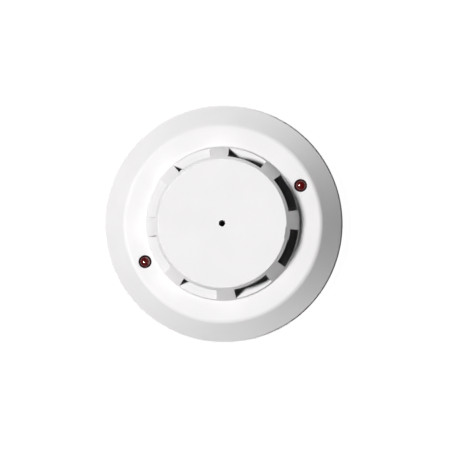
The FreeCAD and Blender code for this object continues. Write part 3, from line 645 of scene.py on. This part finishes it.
def drum_outlines():
    """Outline below the windows, from sill inside to sill outside, and the one above them."""
    foot_inner = CAGE_FOOT_RADIUS - CAGE_WALL
    bottom = cage_low.z
    # A thin lip over the ring lets the fillet at the drum's foot run out level with it. The lip
    # has to outreach the fillet: otherwise the outline crosses itself and the exact cuts go wrong.
    lip_end = CAGE_FOOT_RADIUS + FOOT_FILLET + LIP_BEYOND
    fall = (RING_HEIGHT - SHOULDER_HEIGHT) / (SHOULDER_RADIUS - OPENING_RADIUS)
    lip_top = RING_HEIGHT + LIP_ABOVE - (lip_end - OPENING_RADIUS) * fall
    lower = rounded([
        (drum_radius(WINDOW_BOTTOM) - CAGE_WALL, WINDOW_BOTTOM, 0), (foot_inner, RING_HEIGHT, 0.4),
        (foot_inner, bottom, 0.2), (FLANGE_RADIUS, bottom, 0.2),
        (FLANGE_RADIUS, CAGE_FLANGE_TOP, 0.2), (CAGE_FOOT_RADIUS, CAGE_FLANGE_TOP, 0.3),
        (CAGE_FOOT_RADIUS, RING_HEIGHT - LIP_BELOW, 0), (lip_end, RING_HEIGHT - LIP_BELOW, 0),
        (lip_end, lip_top, 0), (CAGE_FOOT_RADIUS, RING_HEIGHT + LIP_ABOVE, FOOT_FILLET),
        (drum_radius(WINDOW_BOTTOM), WINDOW_BOTTOM, 0)])
    upper = rounded([
        (drum_radius(WINDOW_TOP), WINDOW_TOP, 0), (CAGE_TOP_RADIUS, CAGE_TOP, 0.35),
        (BREATHER_RADIUS, CAGE_TOP, 0.15), (BREATHER_RADIUS, CAP_UNDER, 0.15),
        (drum_radius(CAP_UNDER) - CAGE_WALL, CAP_UNDER, 0.3),
        (drum_radius(WINDOW_TOP) - CAGE_WALL, WINDOW_TOP, 0)])
    return lower, upper


def is_window(index):
    """Whether a column of the drum lies in a window."""
    offset = ((index + 0.5) * 360.0 / SEGMENTS - WINDOW_FIRST) % WINDOW_PITCH
    return min(offset, WINDOW_PITCH - offset) < WINDOW_HALF


def drum_mesh():
    """Drum built column by column, with the ribs and windows left in the same mesh."""
    bm = bmesh.new()
    lower, upper = drum_outlines()
    rings = [ring_of(bm, lower + upper, index * 360.0 / SEGMENTS) for index in range(SEGMENTS)]
    sill_inner, sill_outer = 0, len(lower) - 1
    lintel_outer, lintel_inner = len(lower), len(lower + upper) - 1
    rib_faces = ((sill_outer, lintel_outer), (lintel_inner, sill_inner))
    window_faces = ((sill_outer, sill_inner), (lintel_inner, lintel_outer))
    outline = [(point, point + 1) for point in range(lintel_inner) if point != sill_outer]
    for index in range(SEGMENTS):
        near, far = rings[index], rings[(index + 1) % SEGMENTS]
        for first, second in (*outline, *(window_faces if is_window(index) else rib_faces)):
            bm.faces.new((near[first], far[first], far[second], near[second]))
        if is_window(index) != is_window(index - 1):
            bm.faces.new([near[corner] for corner in
                          (sill_inner, sill_outer, lintel_outer, lintel_inner)])
    bmesh.ops.recalc_face_normals(bm, faces=bm.faces)
    sill = WINDOW_BOTTOM * MM
    return soften(bm, 0.15,
                  keep=lambda edge: all(abs(vert.co.z - sill) < 1e-6 for vert in edge.verts))


def latch_tab():
    """Moulded latch tab that hangs under the lintel of one window."""
    low, high = WINDOW_TOP - TAB_DROP, WINDOW_TOP + TAB_OVERLAP
    tab = lathe([(drum_radius(low) - CAGE_WALL, low, 0.1), (drum_radius(low), low, 0.15),
                 (drum_radius(high), high, 0), (drum_radius(high) - CAGE_WALL, high, 0)],
                16, TAB_ANGLE - TAB_WIDTH / 2, TAB_WIDTH)
    return soften(tab, 0.1)


def rim_notch():
    """Cutter for the facet in the cap's edge above the tab."""
    bottom, above = CAGE_TOP - RIM_NOTCH_HEIGHT, CAGE_TOP + 1
    outside, inside = CAGE_TOP_RADIUS + CAGE_WALL, CAGE_TOP_RADIUS - RIM_NOTCH_DEPTH
    return lathe([(drum_radius(bottom), bottom, 0), (outside, bottom, 0), (outside, above, 0),
                  (inside, above, 0), (inside, CAGE_TOP, 0)],
                 16, RIM_NOTCH_ANGLE - TAB_WIDTH / 2, TAB_WIDTH)


def make_sensor_cage():
    """Tapered drum with eight windows, a pierced cap and a flange notched for the lamps.

    The tab overlaps the drum, so it is joined after the cuts to stay out of them.
    """
    made = object_from(drum_mesh(), "cage_drum", housing)
    cut_away(made, [rim_notch(), *lamp_clearance(cage_low.z, CAGE_FLANGE_TOP)])
    stands_for(object_from(merged(made, [latch_tab()]), "cage_drum", housing), "sensor_cage",
               "head")


def make_chamber_floor():
    """White dish under the windows, on four legs."""
    inner = FLOOR_RADIUS - CAGE_WALL
    under = FLOOR_TOP - FLOOR_THICKNESS
    parts = [lathe([
        (FLOOR_HOLE, under, 0.1), (inner, under, 0.5), (inner, FLOOR_FLANGE_BOTTOM, 0.2),
        (FLANGE_RADIUS, FLOOR_FLANGE_BOTTOM, 0.2), (FLANGE_RADIUS, FLOOR_FLANGE_TOP, 0.2),
        (FLOOR_RADIUS, FLOOR_FLANGE_TOP, 0.3), (FLOOR_RADIUS, FLOOR_TOP, 0),
        (FLOOR_HOLE, FLOOR_TOP, 0.2)])]
    for number in TERMINALS:
        across, along = at_angle(FLOOR_LEG_CIRCLE, 90 * number)
        parts.append(rod(FLOOR_LEG_RADIUS, floor_low.z, FLOOR_FLANGE_BOTTOM + FLOOR_LEG_ROOT, 32,
                         across, along, 0.15))
    made = object_from(joined(parts), "chamber_dish", chamber_white)
    cut_away(made, lamp_clearance(FLOOR_FLANGE_BOTTOM, FLOOR_FLANGE_TOP))
    stands_for(made, "chamber_floor", "head")


def make_thermistor():
    """Dipped bead over a black post with a wide disc."""
    neck = bead_low.z
    top = bead_high.z
    radius = bead_high.x
    bead = lathe([(0, neck, 0), (0.62, neck, 0.15), (radius, top - radius * 1.35, 0.9),
                  (radius, top, radius * 0.95), (0, top, 0)], 64)
    stands_for(object_from(bead, "bead", bead_epoxy), "thermistor_bead", "head")
    low, high = guide_low.z, guide_high.z
    disc_top = FLOOR_TOP + GUIDE_THICKNESS
    post = lathe([
        (GUIDE_BORE, low, 0.1), (GUIDE_POST, low, 0.2), (GUIDE_POST, FLOOR_TOP, 0),
        (GUIDE_FLANGE, FLOOR_TOP, 0.15), (GUIDE_FLANGE, disc_top, 0.4),
        (GUIDE_POST, disc_top, 0.5), (GUIDE_TIP, high, 0.25), (GUIDE_BORE, high, 0.15)], 192)
    stands_for(object_from(post, "guide_post", black_plastic), "thermistor_guide", "head")


def lamp_frame(bottom, top):
    """Reflector cup with its die and stem, and the second post beside it."""
    cup_rim, cup_floor = top - CUP_RIM_DEPTH, top - CUP_FLOOR_DEPTH
    cup_foot = top - CUP_FOOT_DEPTH
    cup = lathe([(0, cup_foot, 0), (CUP_FOOT_RADIUS, cup_foot, 0.1), (CUP_OUTER, cup_rim, 0.05),
                 (CUP_INNER, cup_rim, 0.05), (CUP_FLOOR_RADIUS, cup_floor, 0.1),
                 (0, cup_floor, 0)], 48)
    stem = block((-STEM_HALF, -STEM_HALF, bottom + 0.1), (STEM_HALF, STEM_HALF, cup_foot + 0.1))
    post = block((SIDE_POST[0], -SIDE_POST_HALF, bottom + 0.1),
                 (SIDE_POST[1], SIDE_POST_HALF, cup_rim - 0.4))
    die = block((-DIE_HALF, -DIE_HALF, cup_floor - 0.05), (DIE_HALF, DIE_HALF, cup_floor + 0.15))
    return joined([cup, stem, post, die])


def make_lamps():
    """Clear red dome over a metal frame, in a near-black collar that stands in for the shade in
    the gap to the ring.
    """
    top = lamp_high.z
    bottom = lamp_low.z
    flange_top = bottom + LAMP_FLANGE_THICKNESS
    for number, angle in enumerate(LAMP_ANGLES, 1):
        across, along = at_angle(LAMP_CIRCLE, angle)
        corners = [(0, bottom, 0), (LAMP_FLANGE, bottom, 0.12), (LAMP_FLANGE, flange_top, 0.2),
                   (LAMP_RADIUS, flange_top, 0.1)]
        body = lathe(corners + dome_points(LAMP_RADIUS, top - LAMP_RADIUS), 96)
        lens = object_from(placed(body, across, along), f"lamp_lens_{number}", resin, 50.0)
        stands_for(lens, f"alarm_lamp_{number}", "head")
        turn = Matrix.Rotation(math.radians(angle), 3, "Z")
        metal = object_from(placed(lamp_frame(bottom, top), across, along, 0.0, turn),
                            f"lamp_frame_{number}", tinned)
        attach(metal, "head")
        foot = flange_top + SLEEVE_GAP
        # the collar is a near-black ring put where the gap round the lens lies in shade
        tube = lathe([(SLEEVE_INNER, foot, 0.03), (SLEEVE_OUTER, foot, 0.03),
                      (SLEEVE_OUTER, SLEEVE_TOP, 0.03), (SLEEVE_LIP, SLEEVE_TOP, 0.03),
                      (SLEEVE_LIP, SLEEVE_TOP - SLEEVE_LIP_DEPTH, 0.03),
                      (SLEEVE_INNER, SLEEVE_TOP - SLEEVE_THROAT_DEPTH, 0)], 96)
        sleeve = object_from(placed(tube, across, along), f"lamp_sleeve_{number}", gap_shade_plastic)
        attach(sleeve, "head")


def dome_points(radius, base):
    """Quarter circle from the side of a dome to its top."""
    steps = 18
    arc = []
    for step in range(steps + 1):
        angle = math.radians(90.0 * step / steps)
        arc.append((radius * math.cos(angle), base + radius * math.sin(angle), 0))
    return arc


# ------------------------------------------------------------ mounting base

def make_mounting_base():
    """Dished disc with rim, cable collar, hooks and terminal bosses."""
    inner = BASE_RADIUS - BASE_WALL
    dish = lathe([
        (CABLE_HOLE, 0, 0.3), (BASE_RADIUS, 0, 0.5), (BASE_RADIUS, BASE_TOP, 0.15),
        (inner, BASE_TOP, 0.3), (inner, BASE_FLOOR, 0.6), (CABLE_LIP, BASE_FLOOR, 0.4),
        (CABLE_LIP, CABLE_LIP_TOP, 0.3), (CABLE_HOLE, CABLE_LIP_TOP, 0.3)])
    made = object_from(dish, "base_dish", base_white)
    cutters = []
    for side in (-1, 1):
        cutters.append(rod(FIXING_RADIUS, *FIXING_CUT, 48, 0, side * ROUND_HOLE_CENTRE))
        cutters.append(long_slot(side * SLOT_CENTRE))
    cut_away(made, cutters)
    root = BASE_FLOOR - ROOT_DEPTH
    parts = []
    for number in range(3):
        hook = lathe([(HOOK_STEM, root, 0), (HOOK_OUTER, root, 0), (HOOK_OUTER, HOOK_TOP, 0.3),
                      (HOOK_TIP, HOOK_TOP, 0.3), (HOOK_TIP, HOOK_UNDER, 0.3),
                      (HOOK_STEM, HOOK_UNDER, 0.2)], 24,
                     HOOK_ANGLE + 120 * number - HOOK_WIDTH / 2, HOOK_WIDTH)
        parts.append(soften(hook, 0.15))
    for number in TERMINALS:
        boss = lathe([(TERMINAL_BORE, root, 0), (TERMINAL_BOSS, root, 0),
                      (TERMINAL_BOSS, TERMINAL_BOSS_TOP, 0.2),
                      (TERMINAL_BORE, TERMINAL_BOSS_TOP, 0.1)], 48)
        parts.append(placed(boss, *at_angle(TERMINAL_RADIUS, 90 * number - 45)))
    stands_for(object_from(merged(made, parts), "base_dish", base_white), "mounting_base", "base")


def long_slot(middle):
    """Upright bar with a slot-shaped section, centred on the X axis."""
    bm = bmesh.new()
    steps = 24
    ring = []
    for end in (1, -1):
        for step in range(steps + 1):
            angle = math.radians(-90 * end + 180.0 * step / steps)
            across = middle + end * SLOT_HALF_STRAIGHT + FIXING_RADIUS * math.cos(angle)
            ring.append((across * MM, FIXING_RADIUS * MM * math.sin(angle)))
    low, high = [[bm.verts.new((x, y, height * MM)) for x, y in ring] for height in FIXING_CUT]
    bm.faces.new(low)
    bm.faces.new(high)
    for index in range(len(ring)):
        following = (index + 1) % len(ring)
        bm.faces.new((low[index], low[following], high[following], high[index]))
    bmesh.ops.recalc_face_normals(bm, faces=bm.faces)
    return bm


# ------------------------------------------------------------ carried-over CAD nodes

def dress_cad_nodes():
    """Give every CAD node that stays a worked material."""
    looks = {
        "back_plate": base_white, "circuit_board": board_laminate(), "board_screws": steel,
        "cover_screws": steel, "thermistor_wires": tinned, "lamp_leads": tinned,
        "lamp_spacers": black_plastic, "controller_chip": chip_epoxy,
        "electrolytic_capacitors": worked_metal("can_aluminium", (0.8, 0.8, 0.82), 0.28,
                                                (1, 1, 5), 0.08),
        "ceramic_capacitors": dipped_coating("disc_coating", (0.52, 0.22, 0.05)),
        "resistors": dipped_coating("resistor_coating", (0.58, 0.45, 0.28)),
        "rectifier_diodes": chip_epoxy, "transistors": chip_epoxy,
        "surge_suppressor": dipped_coating("varistor_coating", (0.03, 0.1, 0.34)),
        "reed_switch": reed_glass(), "reference_thermistor": bead_epoxy}
    for number in TERMINALS:
        looks[f"base_contact_{number}"] = brass
        looks[f"contact_blade_{number}"] = brass
        looks[f"terminal_clamp_{number}"] = steel
        looks[f"terminal_screw_{number}"] = steel
    for node, material in looks.items():
        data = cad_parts[node].data
        data.materials.clear()
        data.materials.append(material)
        data.polygons.foreach_set("material_index", [0] * len(data.polygons))


# ------------------------------------------------------------ stage, light and camera

# Glow of the table every 30 degrees round the object, anticlockwise from -X.
GLOW_ROUND = (0.075, 0.1, 0.22, 0.38, 0.72, 0.5, 0.22, 0.6, 1.0, 0.62, 0.4, 0.2, 0.075)
GLOW_STRONG = 2.0
GLOW_SEEN = 0.97                    # what the camera sees of the table, whatever it sheds
TABLE_HOLE = 49.0                   # millimetres
TABLE_RADIUS = 4000.0
TABLE_THICKNESS = 0.5
KEY_STRENGTH = 3.55
KEY_SPREAD = 8.0                    # degrees
KEY_ELEVATION = 64.4
LIGHT_ABOVE = 0.005                 # strength of the surroundings, above and below the horizon
LIGHT_BELOW = 0.7
HORIZON_DEPTH = 0.1
BACKDROP_SEEN = 0.93
CAMERA_ROLL = 2.7                   # degrees
CAMERA_LEAN_RIGHT = 1.0
CAMERA_LEAN_DOWN = 0.45
CAMERA_AIM = (0.0009, -0.0008)      # metres, right and up in the picture
CAMERA_DISTANCE = 1.1
SENSOR_WIDTH = 36.0
VIEW_WIDTH = 0.19134                # metres across the picture at the aim


def picture_direction(across, along, up=0.0):
    """World direction of a step right and up in the picture."""
    roll = math.radians(CAMERA_ROLL)
    right = Vector((math.cos(roll), -math.sin(roll), 0))
    above = Vector((math.sin(roll), math.cos(roll), 0))
    return right * across + above * along + Vector((0, 0, up))


def make_camera():
    """Nearly straight above, a little to the right and below."""
    camera = bpy.data.objects.new("camera", bpy.data.cameras.new("camera"))
    bpy.context.scene.collection.objects.link(camera)
    lean = picture_direction(math.tan(math.radians(CAMERA_LEAN_RIGHT)),
                             -math.tan(math.radians(CAMERA_LEAN_DOWN)), 1.0).normalized()
    camera.location = picture_direction(*CAMERA_AIM) + lean * CAMERA_DISTANCE
    above = (picture_direction(0, 1) - lean * lean.dot(picture_direction(0, 1))).normalized()
    right = above.cross(lean)
    camera.rotation_mode = "QUATERNION"
    camera.rotation_quaternion = Matrix((right, above, lean)).transposed().to_quaternion()
    camera.data.sensor_width = SENSOR_WIDTH
    camera.data.lens = SENSOR_WIDTH * CAMERA_DISTANCE / VIEW_WIDTH
    camera.data.clip_start = 0.05
    camera.data.clip_end = 20.0
    bpy.context.scene.camera = camera


def make_floor():
    """Plain pale table that glows on the object; a hole under the base bares its back."""
    made = Surface("table", 0.8)
    made.colour(made.mottled((0.12, 0.12, 0.12), 300.0, 0.02))
    made.shader.inputs["Emission Color"].default_value = (1.0, 1.0, 1.0, 1.0)
    round_about = made.add("TexGradient", gradient_type="RADIAL")
    made.join(made.place, round_about.inputs["Vector"])
    stops = [(index / (len(GLOW_ROUND) - 1), (glow, glow, glow))
             for index, glow in enumerate(GLOW_ROUND)]
    shed = made.calculate("MULTIPLY", made.ramp(round_about.outputs["Fac"], stops), GLOW_STRONG)
    rays = made.add("LightPath")
    seen = made.add("Mix", data_type="FLOAT")
    made.join(rays.outputs["Is Camera Ray"], seen.inputs[0])
    made.join(shed, seen.inputs[2])
    seen.inputs[3].default_value = GLOW_SEEN
    made.join(seen.outputs[0], made.shader.inputs["Emission Strength"])
    slab = lathe([(TABLE_HOLE, -TABLE_THICKNESS, 0), (TABLE_RADIUS, -TABLE_THICKNESS, 0),
                  (TABLE_RADIUS, 0, 0), (TABLE_HOLE, 0, 0)], 96)
    table = object_from(slab, "table", made.material)


def make_lights():
    """A key light from the left; the floor gives the rest, and a glow below reaches the back."""
    key = bpy.data.lights.new("key", "SUN")
    key.energy = KEY_STRENGTH
    key.angle = math.radians(KEY_SPREAD)
    elevation = math.radians(KEY_ELEVATION)
    aim_light(key, picture_direction(-math.cos(elevation), 0.0, math.sin(elevation)))
    world = bpy.data.worlds.new("studio")
    world.use_nodes = True
    nodes, links = world.node_tree.nodes, world.node_tree.links
    seen = nodes.new("ShaderNodeBackground")
    seen.inputs["Color"].default_value = (BACKDROP_SEEN, BACKDROP_SEEN, BACKDROP_SEEN, 1.0)
    lighting = nodes["Background"]
    lighting.inputs["Color"].default_value = (1.0, 1.0, 1.0, 1.0)
    heading = nodes.new("ShaderNodeTexCoord")
    split = nodes.new("ShaderNodeSeparateXYZ")
    links.new(heading.outputs["Generated"], split.inputs["Vector"])
    strength = nodes.new("ShaderNodeMapRange")
    strength.inputs["From Min"].default_value = 0.0
    strength.inputs["From Max"].default_value = -HORIZON_DEPTH
    strength.inputs["To Min"].default_value = LIGHT_ABOVE
    strength.inputs["To Max"].default_value = LIGHT_BELOW
    links.new(split.outputs["Z"], strength.inputs["Value"])
    links.new(strength.outputs["Result"], lighting.inputs["Strength"])
    rays = nodes.new("ShaderNodeLightPath")
    mix = nodes.new("ShaderNodeMixShader")
    links.new(rays.outputs["Is Camera Ray"], mix.inputs["Fac"])
    links.new(lighting.outputs["Background"], mix.inputs[1])
    links.new(seen.outputs["Background"], mix.inputs[2])
    links.new(mix.outputs["Shader"], nodes["World Output"].inputs["Surface"])
    bpy.context.scene.world = world
    bpy.context.scene.view_settings.view_transform = "Standard"


def aim_light(data, towards_light):
    """Sun lamp whose light comes from a direction."""
    lamp = bpy.data.objects.new(data.name, data)
    bpy.context.scene.collection.objects.link(lamp)
    lamp.rotation_mode = "QUATERNION"
    lamp.rotation_quaternion = towards_light.to_track_quat("Z", "Y")


make_camera()
make_outer_cover()
make_sensor_cage()
make_chamber_floor()
make_thermistor()
make_lamps()
make_mounting_base()
dress_cad_nodes()
make_floor()
make_lights()
